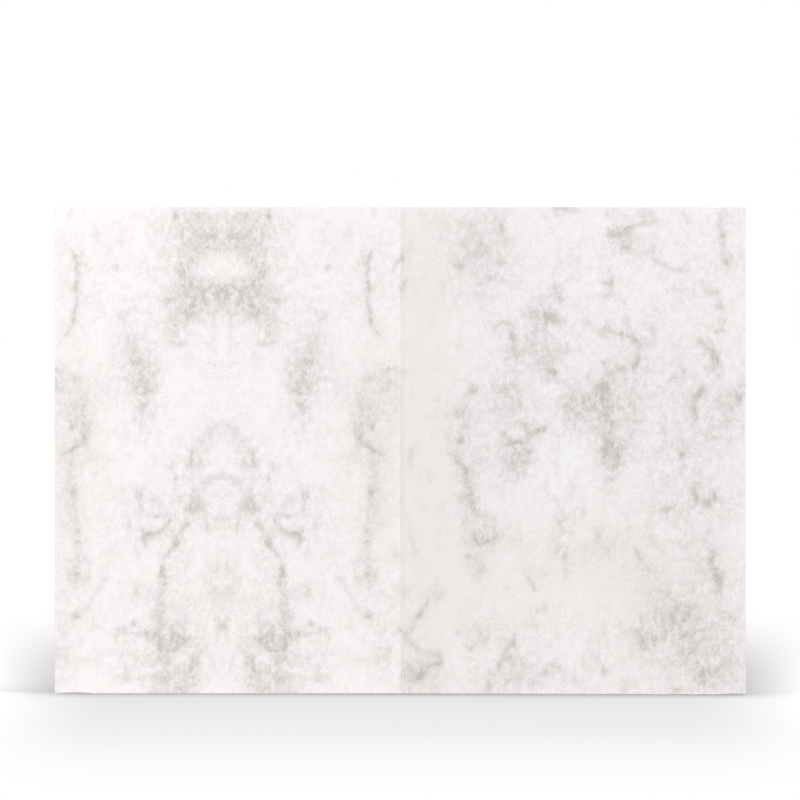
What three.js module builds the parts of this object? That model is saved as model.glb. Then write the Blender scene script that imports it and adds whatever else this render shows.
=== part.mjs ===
// A folded card: one sheet of stiff card, scored and folded once down its middle, opened wide
// and standing on its bottom edge with the inside of the fold towards the reader.
// Millimetres. +X runs across the opened card, +Y from the reader towards the fold, +Z up.
// The origin lies on the table, under the middle of the card's box.

import * as THREE from 'three';

// The sheet, laid flat
const SHEET_WIDTH = 254;
const SHEET_HEIGHT = 177.8;
const SHEET_THICKNESS = 0.3;

// The fold, halfway across the sheet. A rule presses a groove into the outside of the sheet,
// and the card that it pushes into the channel behind it stands up as a bead on the inside.
const OPENING_ANGLE = 171.3; // degrees between the two panels, 180 when the card is flat
const GROOVE_WIDTH = 0.7;
const GROOVE_DEPTH = 0.11;
const BEAD_HEIGHT = 0.13;

// The channel is wider than the rule, to take the card that lies round it.
const CHANNEL_SHARE_OF_THICKNESS = 1.5;
const BEAD_WIDTH = GROOVE_WIDTH + CHANNEL_SHARE_OF_THICKNESS * SHEET_THICKNESS;

// Facets across the bead
const FOLD_STEPS = 28;

// The card's surface: white with grey clouds, matt
const PAPER_WHITE = 0xf1ebea;
const PAPER_ROUGHNESS = 0.85;

const FOLD_TURN = THREE.MathUtils.degToRad(180 - OPENING_ANGLE);

// A smooth hump of height 1 over the given width, with its top on the fold line.
function hump(place, width) {
  return Math.abs(place) < width / 2 ? (1 + Math.cos((2 * Math.PI * place) / width)) / 2 : 0;
}

// The sheet's section while it is still flat, as an outline of points. x is the place across
// the sheet, from the fold line, and y the height over the middle layer, outside upwards.
function flatSection() {
  const edge = SHEET_WIDTH / 2;
  const face = SHEET_THICKNESS / 2;
  const places = [-edge];
  for (let step = 0; step <= FOLD_STEPS; step += 1) {
    places.push((step / FOLD_STEPS - 0.5) * BEAD_WIDTH);
  }
  places.push(edge);

  const inside = places.map(
    (place) => new THREE.Vector2(place, -face - BEAD_HEIGHT * hump(place, BEAD_WIDTH)),
  );
  const outside = places.map(
    (place) => new THREE.Vector2(place, face - GROOVE_DEPTH * hump(place, GROOVE_WIDTH)),
  );
  return [...inside, ...outside.reverse()];
}

// Folds one point of the flat section. The bend is an arc as long as the bead is wide, so the
// middle layer keeps its length, and past the arc each panel runs on straight.
function folded(point) {
  const onArc = THREE.MathUtils.clamp(point.x, -BEAD_WIDTH / 2, BEAD_WIDTH / 2);
  const turned = (FOLD_TURN * onArc) / BEAD_WIDTH;
  const half = turned / 2;
  const chord = half === 0 ? onArc : (onArc * Math.sin(half)) / half;
  const along = point.x - onArc;
  return new THREE.Vector2(
    chord * Math.cos(half) + along * Math.cos(turned) + point.y * Math.sin(turned),
    -chord * Math.sin(half) - along * Math.sin(turned) + point.y * Math.cos(turned),
  );
}

// The whole sheet: its folded section carried up by the sheet's height, set on the table and
// moved so that the middle of its footprint's box is the origin.
function cardSheet() {
  const section = new THREE.Shape(flatSection().map(folded));
  const geometry = new THREE.ExtrudeGeometry(section, {
    depth: SHEET_HEIGHT,
    bevelEnabled: false,
  });
  geometry.computeBoundingBox();
  const middle = geometry.boundingBox.getCenter(new THREE.Vector3());
  geometry.translate(-middle.x, -middle.y, 0);

  const paper = new THREE.MeshStandardMaterial({
    color: PAPER_WHITE,
    roughness: PAPER_ROUGHNESS,
    metalness: 0,
  });
  const sheet = new THREE.Mesh(geometry, paper);
  sheet.name = 'card_sheet';
  return sheet;
}

const foldedCard = new THREE.Group();
foldedCard.add(cardSheet());

export default foldedCard;
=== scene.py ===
"""A folded card of marbled white card stock, standing open on a pale floor.

The sheet is a closed surface worked out from two parameters: the place across the flat sheet and
the height up it. It is bent at the fold as the model's solid is, and its marbling is laid out
in millimetres on the flat sheet.
"""

import logging
import math
from dataclasses import dataclass
from enum import Enum
from typing import Any, ClassVar, Mapping, Sequence, Union

import bpy
import numpy as np
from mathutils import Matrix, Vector


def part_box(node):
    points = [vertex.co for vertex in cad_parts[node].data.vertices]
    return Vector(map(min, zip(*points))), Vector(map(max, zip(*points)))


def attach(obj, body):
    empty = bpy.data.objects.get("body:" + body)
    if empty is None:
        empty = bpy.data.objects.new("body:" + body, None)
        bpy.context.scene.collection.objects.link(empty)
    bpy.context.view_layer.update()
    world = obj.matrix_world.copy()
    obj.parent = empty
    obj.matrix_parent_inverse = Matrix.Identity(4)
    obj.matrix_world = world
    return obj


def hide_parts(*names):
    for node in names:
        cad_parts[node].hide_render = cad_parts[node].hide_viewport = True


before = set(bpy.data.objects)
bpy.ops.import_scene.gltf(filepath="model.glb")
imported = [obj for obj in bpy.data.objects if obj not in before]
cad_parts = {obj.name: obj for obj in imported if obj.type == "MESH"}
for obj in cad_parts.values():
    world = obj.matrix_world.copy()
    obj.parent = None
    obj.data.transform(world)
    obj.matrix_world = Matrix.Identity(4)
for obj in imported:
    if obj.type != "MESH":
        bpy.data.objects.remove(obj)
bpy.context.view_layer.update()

LOG = logging.getLogger("folded_card")
MM = 0.001
NODE = "card_sheet"
SHARP_ANGLE = 30.0

# The values stored at every point of the sheet's mesh.
PLACE = "sheet_place"
INK = "ink"
HAZE = "haze"
WARMTH = "warmth"

Colour = tuple[float, float, float]
Grid = np.ndarray


class Side(Enum):
    """Which part of the sheet's surface a face belongs to; the value is its material's index."""

    INSIDE = 0
    OUTSIDE = 1
    CUT_EDGE = 2


@dataclass(frozen=True)
class MarkShape:
    """How marks fade towards their rims and how weakly the haze round them reaches further out.

    A fade is the exponent of a mark's bell at a blot's reach or at a vein's rim. Marks stronger
    than haze_from have a haze, and most is the largest share of the paper one mark covers.
    """

    blot_fade: float = 1.1
    vein_fade: float = 0.75
    most: float = 0.96
    haze_from: float = 0.3
    haze_reach: float = 1.9
    blot_haze: float = 0.42
    blot_haze_rise: float = 1.2
    vein_haze: float = 0.34
    vein_haze_spread: float = 1.7


MARK = MarkShape()


@dataclass(frozen=True)
class Blot:
    """A soft spot of grey.

    x and z are its middle and rx and rz its reach, in millimetres on the flat panel; tilt turns
    it anticlockwise, in degrees, and strength is the grey at its middle. A negative strength
    leaves the paper clear.
    """

    x: float
    z: float
    rx: float
    rz: float
    strength: float
    tilt: float = 0.0

    def mask(self, across: Grid, up: Grid) -> Grid:
        """How strongly the blot covers each place: a bell that is 1 in its middle.

        Args:
            across: places across the panel, in millimetres.
            up: heights, in millimetres.

        Returns:
            Values from 0 to 1, of the same shape.
        """
        turn = math.radians(self.tilt)
        dx, dz = across - self.x, up - self.z
        u = (dx * math.cos(turn) + dz * math.sin(turn)) / self.rx
        v = (dz * math.cos(turn) - dx * math.sin(turn)) / self.rz
        return np.exp(-MARK.blot_fade * (u * u + v * v))

    def halo(self) -> "Blot":
        """The blot's weaker surroundings, which reach further out."""
        rx = self.rx + MARK.haze_reach
        rz = self.rz + MARK.blot_haze_rise * MARK.haze_reach
        return Blot(self.x, self.z, rx, rz, MARK.blot_haze * self.strength, self.tilt)


@dataclass(frozen=True)
class Vein:
    """A thin grey line through a few points, with a width and a strength."""

    points: tuple[tuple[float, float], ...]
    width: float
    strength: float

    def mask(self, across: Grid, up: Grid) -> Grid:
        """How strongly the vein covers each place: a bell over the distance to its line.

        Args:
            across: places across the panel, in millimetres.
            up: heights, in millimetres.

        Returns:
            Values from 0 to 1, of the same shape.
        """
        nearest = np.full(across.shape, np.inf)
        for (x0, z0), (x1, z1) in zip(self.points, self.points[1:]):
            run_x, run_z = x1 - x0, z1 - z0
            share = ((across - x0) * run_x + (up - z0) * run_z) / (run_x**2 + run_z**2)
            share = np.clip(share, 0, 1)
            away = np.hypot(across - x0 - share * run_x, up - z0 - share * run_z)
            nearest = np.minimum(nearest, away)
        return np.exp(-MARK.vein_fade * (2 * nearest / self.width) ** 2)

    def halo(self) -> "Vein":
        """The vein's weaker surroundings, which reach further out."""
        width = self.width + MARK.vein_haze_spread * MARK.haze_reach
        return Vein(self.points, width, MARK.vein_haze * self.strength)


Mark = Union[Blot, Vein]

# The left panel's marks, by their distance from its mirror line and their height.
LEFT_MARKS: tuple[Mark, ...] = (
    Blot(6, 166, 11, 5.5, 0.42), Blot(8, 146.5, 10, 4, 0.40), Blot(9, 142, 10, 3.6, 0.34),
    Blot(12, 156, 3.4, 6, 0.26), Blot(5, 173, 9, 3.5, 0.26), Blot(22, 160, 2.5, 4, 0.14),
    Blot(12, 139, 5, 3, 0.50, -25), Blot(17.8, 134, 1.9, 4.5, 0.46, -15), Blot(16, 127.3, 2.6, 1, 0.55),
    Blot(12, 122, 2.5, 3.5, 0.26), Blot(3, 130, 1.2, 8, 0.30), Blot(2, 156, 4, 3, -0.60),
    Blot(0, 147, 3, 1.2, 0.40), Blot(1, 147.5, 2, 1.6, 0.45), Blot(14, 152, 2.2, 1.6, 0.38),
    Blot(8.5, 162.5, 1.8, 1.4, 0.34), Blot(33, 126, 4, 7, 0.34, -12), Blot(27.5, 114, 5, 9, 0.34, 5),
    Blot(28.5, 103, 2.6, 4, 0.36), Blot(36.5, 137, 1.2, 3, 0.40, -35), Blot(30.5, 111, 2, 1.6, 0.40),
    Blot(31, 121.5, 1.5, 1, 0.32), Blot(33, 128, 1.5, 1.2, 0.30), Blot(39, 156, 1.2, 1.8, 0.46),
    Blot(20, 143.5, 1.1, 1.2, 1.0), Blot(34.5, 148.5, 2, 1, 0.26), Blot(17.2, 175, 1.1, 2.4, 0.85),
    Blot(9, 173, 3, 2, 0.24), Vein(((54.6, 160), (52.8, 153), (53.1, 144), (54.8, 136.6)), 1.5, 0.52),
    Vein(((54.8, 136.6), (57.4, 130)), 1.4, 0.50), Vein(((54, 161), (51.5, 157)), 1.6, 0.34),
    Blot(56, 176, 1, 3, 0.30), Blot(46, 168, 1.5, 3, 0.22),
    Vein(((65.8, 160), (64, 158.5), (62.6, 154)), 1.5, 0.62), Blot(65.6, 148.5, 1, 1.6, 0.5),
    Blot(61.5, 118.3, 1.2, 1.6, 0.80, -30), Blot(61.8, 114, 1.9, 1.1, 0.72), Blot(58, 111, 8, 8, 0.14),
    Blot(52, 103, 4.5, 7, 0.34), Blot(50, 108, 1.4, 2, 0.32), Blot(50.5, 101.5, 2, 1.8, 0.42),
    Blot(54, 97.5, 1.4, 1.6, 0.44), Blot(53, 115, 3.2, 3.6, 0.24), Blot(45, 108, 3, 6, 0.16),
    Vein(((48.6, 98), (50.2, 94.5), (51.8, 90.8), (57.5, 87.4)), 1.7, 1.0),
    Blot(56, 83, 1.6, 3.4, 0.36), Blot(53.5, 79, 1.4, 1, 0.34), Blot(55, 74, 0.9, 2, 0.92),
    Blot(55, 71, 3.4, 5, 0.26), Blot(55, 64, 4, 6, 0.28), Blot(53, 59.5, 0.8, 0.8, 0.5),
    Blot(53, 55.7, 0.9, 0.7, 0.5), Blot(53, 48, 2.2, 4, 0.34, 15), Blot(53, 43.3, 2.4, 1.3, 0.66),
    Vein(((42.5, 42), (45.5, 37.5), (49, 31), (52, 28.5)), 2.4, 0.28), Blot(53.2, 28.6, 2.2, 1.5, 0.56),
    Blot(57, 23, 2.4, 1.6, 0.24), Blot(65.4, 22.2, 1.3, 1.2, 0.72), Blot(59.5, 15, 2.6, 3.6, 0.24),
    Blot(50.8, 12, 1.6, 1.6, 0.28), Blot(52, 20, 1.2, 3, 0.18), Blot(66, 7, 1, 3, 0.4),
    Blot(63, 51, 1, 2, 0.34), Blot(57, 92, 9, 9, 0.10), Blot(5, 95, 4, 4.5, 0.28),
    Vein(((0, 99), (4, 97), (9, 91), (12, 84)), 2.6, 0.24), Blot(16, 93, 2, 2, 0.22),
    Blot(10.8, 84.6, 1.5, 1.6, 0.52), Blot(7, 84, 3, 1.2, 0.24), Blot(16.6, 78.8, 1, 1.7, 0.55),
    Blot(18.4, 83, 1.2, 3, 0.34), Blot(17, 74, 1.2, 3, 0.24),
    Vein(((0, 79.7), (4, 78.3), (6, 76.5)), 1.8, 0.40), Blot(3, 69, 3.6, 5, -0.6),
    Blot(9.5, 70, 3.2, 4, 0.55, 20), Blot(11.4, 69.5, 1.2, 2.6, 0.60, 12), Blot(9, 66.5, 2.5, 1, 0.34),
    Blot(1.4, 63.4, 1.8, 1.4, 0.55, -35), Blot(6, 61, 1, 2, 0.44), Blot(4, 60, 2.4, 1, 0.24),
    Vein(((11.8, 62.5), (14.6, 59.4), (16.6, 56.4), (18.4, 53.4), (21, 50)), 1.4, 0.46),
    Blot(17, 55.3, 1, 1.7, 0.52, 20), Vein(((21.6, 50), (22.3, 45.5)), 1.4, 0.40),
    Vein(((22.4, 45), (21.4, 42.4), (20.5, 40)), 1.8, 1.0), Blot(22.5, 34, 1.8, 4.6, 0.42),
    Blot(23.5, 28, 2.2, 4, 0.46), Blot(19, 18.6, 4, 2.6, 0.30),
    Vein(((23.8, 20.6), (22.8, 17.2), (19.6, 15.2), (16.6, 16.8), (15.2, 20.2)), 1.3, 0.80),
    Blot(20, 17, 2, 1.6, 0.25), Vein(((10.6, 20.6), (13.5, 19.8), (18, 20)), 1.7, 0.75),
    Vein(((22, 21), (27, 21.7), (31, 21.3), (38, 22.6)), 1.7, 0.46), Blot(18, 23, 3, 1.5, 0.32),
    Blot(13, 28, 1.1, 3.2, 0.36), Blot(16.8, 27.3, 0.9, 1.2, 0.34), Blot(15, 25, 1.3, 1.3, 0.34),
    Blot(31.6, 37, 1, 3, 0.48), Blot(32, 25.2, 0.8, 0.9, 0.68), Blot(27, 37, 4.5, 3, 0.26),
    Blot(44, 42, 2, 2, 0.2), Blot(28.2, 57.9, 1.8, 1.5, 0.95), Blot(28, 54.8, 0.9, 1.2, 0.48),
    Vein(((21.6, 60.2), (24.4, 58.6), (28, 58)), 1.7, 0.74), Blot(19, 62.8, 1.5, 1, 0.66, -15),
    Vein(((21, 65), (23.5, 64.3), (25.5, 65.2)), 1.3, 0.52), Blot(30.8, 72.6, 1.1, 3, 0.46, -12),
    Blot(29.5, 68, 0.8, 3, 0.38), Blot(24, 70.6, 2.6, 0.8, 0.32), Blot(33.6, 60.6, 0.8, 1.2, 0.44),
    Blot(35, 87, 1, 2, 0.30), Blot(36.3, 73, 1.2, 3, 0.20), Blot(31, 51, 1.6, 2.5, 0.28),
    Blot(10, 12, 1.8, 3.2, 0.46, 10), Blot(11, 6.5, 2.4, 4.5, 0.36), Blot(8, 18, 1.5, 3, 0.26, 30),
    Blot(20, 5, 8, 4.5, 0.34), Blot(24.3, 1, 2, 1.5, 0.60), Blot(14.7, 1, 2, 1.4, 0.50),
    Blot(31.5, 13, 1.5, 2, 0.30), Blot(36, 6, 2.2, 1.8, 0.34), Blot(0.4, 23.6, 1.3, 1, 0.68),
    Blot(2, 27, 1.6, 2, 0.26), Blot(2, 36, 3, 3.6, 0.22), Blot(22, 12, 4.6, 4.6, 0.34),
    Blot(6.4, 43, 0.9, 4, 0.22), Blot(2, 46, 2, 2.5, 0.22), Blot(47, 88, 3, 3, 0.20),
)

# The right panel's marks, by their distance from the fold and their height.
RIGHT_MARKS: tuple[Mark, ...] = (
    Blot(28, 162, 9, 11, 0.24), Blot(26.6, 172, 1.6, 1.4, 0.55), Blot(36.6, 171.6, 1.2, 1.5, 0.74),
    Blot(22, 172, 1.4, 1.2, 0.40), Blot(36.4, 168, 0.8, 1.6, 0.36), Blot(34, 174, 1, 2.4, 0.30),
    Blot(22.4, 163.3, 1.4, 1, 0.38), Vein(((29, 164.5), (31.5, 162.4), (34, 161.6)), 1.5, 0.48),
    Blot(22, 157, 2, 1.6, 0.46), Blot(37, 158, 2.6, 2, 0.40), Blot(32.6, 152, 2.2, 0.9, 0.50),
    Blot(26.2, 160, 1.1, 0.9, 0.32), Blot(37.5, 151, 2, 1, 0.26), Blot(17, 174, 1.6, 2, 0.2),
    Blot(15, 165.5, 1.4, 2, 0.2), Blot(29.5, 146, 3.4, 5, 0.14), Blot(3, 165, 2, 6, 0.18),
    Blot(0.3, 159, 1, 1.3, 0.6), Blot(0.4, 149.5, 1.2, 1.2, 0.5), Blot(10.4, 135, 0.9, 5, 0.16),
    Blot(3.6, 86, 1, 4.5, 0.34), Blot(7, 79, 1, 2.5, 0.22), Blot(10.6, 78.5, 0.8, 3, 0.24),
    Blot(0.6, 117, 1, 1.2, 0.4), Blot(3, 109, 1, 2, 0.2), Blot(13, 108, 1.4, 1.6, 0.2),
    Vein(((53.8, 137.4), (57.8, 137)), 2.6, 0.92), Blot(50.6, 132.3, 0.8, 0.8, 0.72),
    Vein(((56, 150), (57.2, 146.5), (58, 143)), 1.5, 0.62),
    Vein(((53.4, 147.5), (49.5, 139)), 1.8, 0.34), Vein(((54.8, 146), (50, 136.5)), 1.2, 0.26),
    Blot(47.5, 138.6, 2.2, 1.4, 0.40), Vein(((33, 134.8), (36, 135.4), (39.4, 135.4)), 1.4, 0.40),
    Blot(40.7, 130.6, 1.2, 1.8, 0.80), Blot(41, 126.3, 1.1, 1.8, 0.42), Blot(42.4, 123.4, 2, 1.3, 0.46),
    Blot(33, 124.4, 1.2, 1, 0.30), Blot(48.8, 126.4, 1.2, 1.8, 0.50, 20), Blot(50, 121.5, 2, 1.2, 0.26),
    Blot(56, 123, 4.5, 2.6, 0.32, 25), Vein(((53.4, 118.6), (56, 117.6)), 2.6, 0.90),
    Blot(54.3, 118.2, 1.9, 1.3, 0.60), Blot(61, 126, 1.1, 1.8, 0.40), Blot(52, 129, 3, 5, 0.16),
    Blot(45, 125, 8, 10, 0.12), Blot(26.2, 111, 1.4, 1.4, 1.0), Blot(36.6, 111, 2.4, 2, 0.32),
    Blot(41.2, 113, 1.3, 1.3, 0.40), Blot(43.3, 109, 1.4, 2.4, 0.40, 15), Blot(43, 106, 1, 1.2, 0.34),
    Blot(33.3, 103, 1.2, 1.1, 0.34), Blot(42, 117, 0.9, 0.9, 0.36), Blot(38, 104, 8, 7, 0.14),
    Vein(((50, 111.5), (54, 114.2), (60, 114), (64, 111)), 1.4, 0.26), Blot(54.5, 110.6, 4, 2, -0.8),
    Blot(57.5, 104, 3, 5, -0.7), Blot(62, 86, 4.6, 11, -0.85), Blot(62, 106, 3.4, 5, 0.34),
    Blot(62.4, 103.4, 1.6, 1.3, 0.36), Blot(50.5, 104, 2, 4, 0.24), Blot(22.5, 102.5, 4.2, 3.6, 0.26),
    Blot(20.6, 100.6, 1.4, 0.9, 0.36), Blot(23.3, 105, 0.9, 1.8, 0.34), Blot(24, 97.6, 2, 1.4, 0.30),
    Blot(27.5, 101, 1.5, 1.4, 0.28), Blot(21, 92.4, 1.6, 1.6, 0.62), Blot(22, 95, 3.6, 4, 0.16),
    Blot(41.6, 91.6, 2.4, 1.4, 0.90), Blot(38.6, 93.4, 1.3, 1.1, 0.66),
    Vein(((46.8, 92.8), (48, 95.6), (52.4, 96.8)), 2, 0.74), Blot(45.5, 97.6, 2, 1.2, 0.40),
    Blot(37, 95.5, 2, 1.4, 0.34), Blot(42.5, 85.5, 4.2, 4.4, 0.34), Blot(41.8, 82, 2, 1.6, 0.30),
    Blot(46, 88, 2, 1.6, 0.36), Vein(((19, 87.5), (21.4, 84.4), (23.6, 81.6)), 2.2, 0.46),
    Blot(23.7, 81.7, 1.1, 1.6, 0.82), Blot(25.2, 72.4, 1.7, 4, 0.70), Blot(22.4, 72, 1.8, 1.3, 0.36),
    Blot(26.6, 68, 1.1, 1.8, 0.95, 25), Blot(29, 65, 1.3, 1.6, 0.50, 25), Blot(23.4, 64, 1, 2.8, 0.34),
    Blot(24, 78, 1.2, 3, 0.28), Blot(33.5, 62.5, 0.9, 1.8, 0.32), Blot(27.3, 56.6, 2, 1, 0.66),
    Blot(31, 56, 1.3, 1.2, 0.60), Blot(34.8, 57.6, 1.8, 1.2, 0.62, 15), Blot(30, 57, 6.5, 3.4, 0.24),
    Blot(25, 86, 6, 12, 0.10), Vein(((23.6, 50.4), (27, 49), (29.4, 46)), 2, 0.46),
    Blot(28.6, 43, 1.2, 1.6, 0.34), Blot(26.6, 44, 3, 4.5, 0.14), Blot(59, 62.8, 1.1, 0.9, 0.66),
    Blot(58.5, 60.6, 2, 1.4, 0.24), Blot(58, 84, 0.9, 5, 0.34), Blot(56.6, 54, 2.2, 3.6, 0.22),
    Blot(44, 57, 0.8, 4, 0.24), Blot(60, 50, 1, 1.4, 0.44), Blot(60.6, 45, 1.1, 4, 0.34),
    Vein(((46, 44), (48.4, 40.6), (49.6, 37.6)), 1.8, 0.42), Blot(52.6, 43.4, 1.5, 1, 0.36, -25),
    Blot(38.6, 38.5, 1, 1.6, 0.30), Blot(41, 35.6, 1.2, 1, 0.26),
    Vein(((49.4, 30.4), (53.6, 32.4)), 1.4, 0.40), Blot(48.6, 24, 1.6, 3, 0.24),
    Vein(((2.4, 59.5), (3.4, 55), (4.8, 51)), 1.4, 0.32), Blot(13.6, 54, 0.9, 5, 0.16),
    Blot(13.6, 36, 2.2, 2.6, 0.34), Blot(1.4, 36, 0.9, 2, 0.34),
    Vein(((9, 34), (6.4, 28.4), (3.4, 23.4), (1, 20.4)), 1.8, 0.44), Blot(6, 28, 1.1, 1, 0.58),
    Vein(((0.6, 20.6), (4, 18), (6.4, 16.4)), 1.8, 0.34), Blot(12.3, 14, 2.1, 2.2, 0.62),
    Blot(12.6, 13.2, 0.8, 0.9, -0.6), Vein(((14, 11.6), (9.6, 8.4), (6, 6.8)), 1.9, 0.60),
    Blot(6.6, 6.8, 1.9, 1, 0.80), Blot(3.5, 5, 5, 4, 0.34), Blot(12.6, 4, 1.3, 4, 0.34),
    Blot(2, 9, 2.4, 1.4, 0.34), Blot(21, 21.6, 1, 1, 0.36), Blot(29.6, 21.8, 1.1, 1.5, 0.44),
    Blot(27, 22.6, 1.6, 0.8, 0.32), Vein(((25, 16.8), (28, 18.6), (31, 19.6)), 1.4, 0.50),
    Blot(40.6, 18.6, 1.9, 1.9, 0.70), Vein(((35.6, 9.6), (37.6, 12.8), (41.4, 12.2)), 2, 0.64),
    Blot(38.8, 15.6, 1, 1.4, 0.40), Blot(44.6, 10.6, 1, 1.2, 0.60), Blot(32.4, 3, 1.2, 4, 0.52),
    Blot(41, 6, 7, 4.6, 0.32), Blot(52.4, 7.6, 1.8, 1.6, 0.44), Blot(56, 10, 2.4, 1.4, 0.40),
    Blot(50, 3.6, 3, 1.4, 0.36), Blot(58.4, 8.4, 1, 1.8, 0.36), Blot(64, 5, 2, 2.4, 0.20),
    Blot(58.8, 177.4, 1.6, 0.8, 0.85), Blot(63.2, 176.8, 1.8, 1, 0.44), Blot(77, 176, 1, 1.6, 0.42),
    Blot(81, 166, 3.6, 3.6, 0.34), Blot(82.6, 167.2, 1, 1.4, 0.70), Blot(77.6, 167.6, 1.5, 1.2, 0.46),
    Blot(77, 169, 1.2, 1, 0.40), Blot(82.4, 163, 2.4, 1.4, 0.34), Blot(80, 168, 0.9, 0.9, -0.4),
    Vein(((83, 170), (87, 171.6), (92.6, 173)), 1.6, 0.50), Blot(91, 175.6, 3.4, 1.6, 0.38),
    Blot(92, 162.4, 1.6, 2.6, 0.40, -15),
    Vein(((93.4, 159), (95.6, 156.4), (98.6, 154.8), (104.5, 154.6)), 1.7, 0.42),
    Blot(96.6, 156.8, 1, 0.9, 0.46), Vein(((103.6, 176), (105, 173), (106.6, 171.6)), 1.8, 0.32),
    Blot(113, 174, 1, 1.6, 0.26),
    Vein(((118.6, 176), (117.8, 170), (118.6, 163), (120, 158), (120.2, 154.6)), 2.4, 0.40),
    Blot(118, 167, 1.1, 1.4, 0.62), Blot(120, 158, 1.2, 2.2, 0.46), Blot(126, 158, 1.3, 4, 0.34),
    Blot(76.6, 150.2, 1.5, 1, 0.80), Blot(77.4, 152.4, 1, 1.8, 0.34), Blot(75, 145.8, 1.2, 0.7, 0.40),
    Blot(78.6, 146.6, 2, 1.8, 0.24), Blot(82.5, 142.4, 1.2, 1.1, 0.34),
    Blot(100.5, 147.5, 2.6, 1.6, 0.22),
    Vein(((110, 150), (112.4, 148), (116, 147.4), (116.6, 141.6)), 2, 0.40),
    Blot(113.4, 147.2, 1.4, 0.9, 0.46), Vein(((67.6, 137.4), (71.4, 134), (75, 129.6)), 1.7, 0.38),
    Vein(((75.6, 136), (78, 134), (80.4, 131)), 1.7, 0.42),
    Vein(((74.1, 133.8), (78.8, 132), (84.3, 131.1), (87.5, 127.4), (87.5, 122.8),
        (85.2, 119.2)), 1.7, 0.70),
    Vein(((86.4, 122.6), (82.4, 119.6), (76, 116.6), (74, 109), (76.5, 103.6), (77.3, 96.3),
        (76, 90)), 2.8, 0.42), Vein(((83.8, 137), (83.6, 131.6)), 1.4, 0.32),
    Blot(75.2, 121, 0.8, 1, 0.62), Blot(79, 118, 2.4, 1.8, 0.30), Blot(81, 126, 3.4, 3, -0.4),
    Blot(92, 133, 1.4, 2.6, 0.42), Blot(91.6, 126.6, 1.4, 2.4, 0.26), Blot(68.6, 115, 0.9, 0.7, 0.85),
    Blot(73.4, 111.8, 1.8, 1.4, 0.66), Blot(71, 105.5, 10, 7.5, 0.32), Blot(84, 112, 2.4, 2.4, 0.26),
    Blot(101.6, 127, 2.8, 3, 0.24), Blot(103.8, 118, 1.3, 1.5, 0.46, -25),
    Blot(101.6, 115.6, 1.2, 0.8, 0.30), Blot(116, 133, 1.1, 1.3, 0.80), Blot(119, 133, 0.9, 0.9, 0.66),
    Blot(119, 136.6, 0.9, 1.2, 0.36),
    Vein(((110, 129.4), (113.6, 126), (116, 123), (115.8, 119.8)), 2.2, 0.62),
    Blot(116, 122.4, 1.2, 2.2, 0.56), Blot(117, 116.4, 1.8, 2, 0.36), Blot(104, 106, 3, 5, 0.16),
    Vein(((110.6, 111.4), (108.4, 107.4), (107, 102.4)), 2.1, 0.64), Blot(109.8, 109.4, 1, 1.4, 0.42),
    Blot(108, 102, 2.4, 2.2, 0.36), Blot(117.4, 107, 2, 3.4, 0.42), Blot(124.6, 108.6, 1, 1, 0.85),
    Blot(123, 108, 4, 4.6, 0.34), Blot(120.6, 101, 1.5, 3.4, 0.34), Blot(126, 112, 1.4, 3, 0.36),
    Blot(97, 96.6, 0.9, 3.4, 0.46), Blot(102, 98, 1, 1.6, 0.30), Blot(101, 107, 1.6, 1, 0.26),
    Blot(85, 98, 1.6, 1.4, 0.42), Blot(76, 101.6, 1.7, 1.5, 0.52), Blot(72.4, 97, 1.6, 2, 0.44),
    Blot(86, 103, 5, 6, 0.20), Blot(76, 92, 1.8, 2.6, 0.62), Blot(75, 89, 1.4, 1.2, 0.60),
    Blot(81, 89, 2.4, 1.8, 0.34), Blot(77.6, 86.4, 2.6, 4.2, 0.52), Blot(78.4, 82.8, 1.5, 1.3, 0.50),
    Blot(77, 78.4, 2.6, 2.6, 0.32), Blot(103.6, 87.6, 1.2, 2, 0.85), Blot(103, 92, 1.4, 1.6, 0.40),
    Blot(103.4, 82, 0.9, 2, 0.30),
    Vein(((112, 92.6), (116, 93.8), (120, 92.4), (125, 93.6)), 1.7, 0.28), Blot(108.8, 77, 1, 1, 0.95),
    Vein(((107.4, 73.4), (109.4, 71.6), (113, 70.2), (115.4, 71), (114.6, 75)), 1.5, 0.66),
    Blot(112.8, 70.2, 1.8, 0.9, 0.52), Blot(98.4, 67.2, 1.3, 1.1, 0.92), Blot(95.6, 67, 1, 1, 0.40),
    Blot(98, 63.6, 2.4, 1.4, 0.20), Blot(98, 77, 1, 2.6, 0.34), Blot(67, 67, 1.2, 2.6, 0.26),
    Blot(72.6, 58.4, 1.2, 3, 0.44), Blot(76.6, 53, 0.9, 2.6, 0.34), Blot(73, 53, 4.4, 5.4, 0.22),
    Blot(88.2, 48.6, 1.4, 1.1, 0.56), Vein(((85.6, 54), (88.4, 48.6), (92, 44.6)), 1.4, 0.38),
    Blot(84.4, 60, 1, 1.6, 0.26), Vein(((91.6, 58.4), (93.4, 54.8)), 1.6, 0.32),
    Blot(104, 54.6, 2.4, 1.2, 0.24), Vein(((113.4, 60), (111.6, 56)), 1.8, 0.36),
    Blot(108.6, 47, 1.2, 1.6, 0.36), Blot(107, 41, 1.8, 0.9, 0.40),
    Vein(((115, 51.4), (114.4, 48), (117, 44), (117.4, 41), (116, 37.4)), 2.6, 0.78),
    Blot(118, 41.6, 1.6, 2, 0.36), Blot(97.6, 37, 1.8, 1.4, 0.34), Blot(107, 37.6, 2, 1.3, 0.36),
    Blot(119.4, 54, 2, 2, 0.26), Blot(112, 44, 2.4, 4, 0.20), Blot(101, 31.4, 2.2, 1.5, 0.46),
    Blot(105.6, 29.4, 4.2, 3.4, 0.44), Blot(105, 27.6, 2, 1.2, 0.36), Blot(100, 27, 1.2, 3, 0.36),
    Blot(89, 18.8, 2, 1.7, 0.66), Blot(86.4, 22.6, 2.6, 1.8, 0.40), Blot(90, 16.6, 1.5, 1.4, 0.34),
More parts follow.
